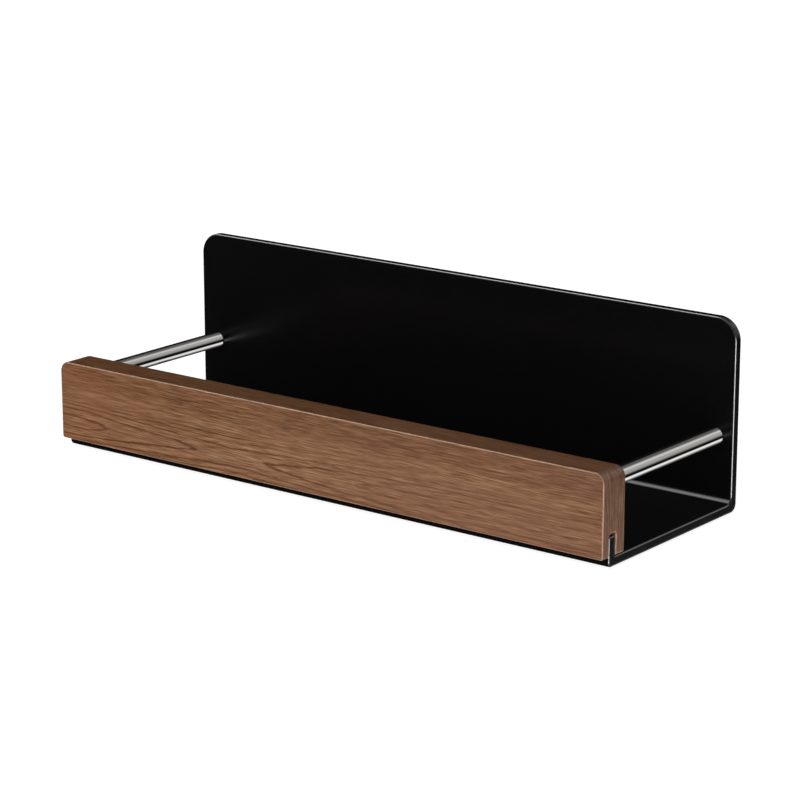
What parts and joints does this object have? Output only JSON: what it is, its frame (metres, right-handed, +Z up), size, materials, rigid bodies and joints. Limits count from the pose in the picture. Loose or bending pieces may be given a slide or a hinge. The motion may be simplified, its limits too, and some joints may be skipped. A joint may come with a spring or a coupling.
{
  "type": "desk shelf",
  "caption": "Low open-ended desk shelf: black J-section tray with a tall back panel, a wooden front bar on its lip and round steel side rods.",
  "frame": {"origin": "middle of the footprint, on the surface that the shelf stands on", "axes": "+X to the right along the front bar, +Y from the front bar towards the back panel, +Z up"},
  "size_m": [0.4, 0.138, 0.1145],
  "materials": {
    "black_aluminium": "black anodised, fine satin",
    "walnut": "oiled walnut, fine open grain",
    "stainless": "ground and polished round bar",
    "screw_steel": "dark plated screw steel",
    "brass": "turned brass",
    "pad_rubber": "matt moulded rubber"
  },
  "bodies": {
    "root": {"tray": "black_aluminium", "front_bar": "walnut", "side_rod_left": "stainless", "side_rod_right": "stainless", "rear_screw_left": "screw_steel", "rear_screw_right": "screw_steel", "front_stud_left": "screw_steel", "front_stud_right": "screw_steel", "bar_insert_left": "brass", "bar_insert_right": "brass", "foot_pad_front_left": "pad_rubber", "foot_pad_front_right": "pad_rubber", "foot_pad_rear_left": "pad_rubber", "foot_pad_rear_right": "pad_rubber"}
  },
  "joints": []
}
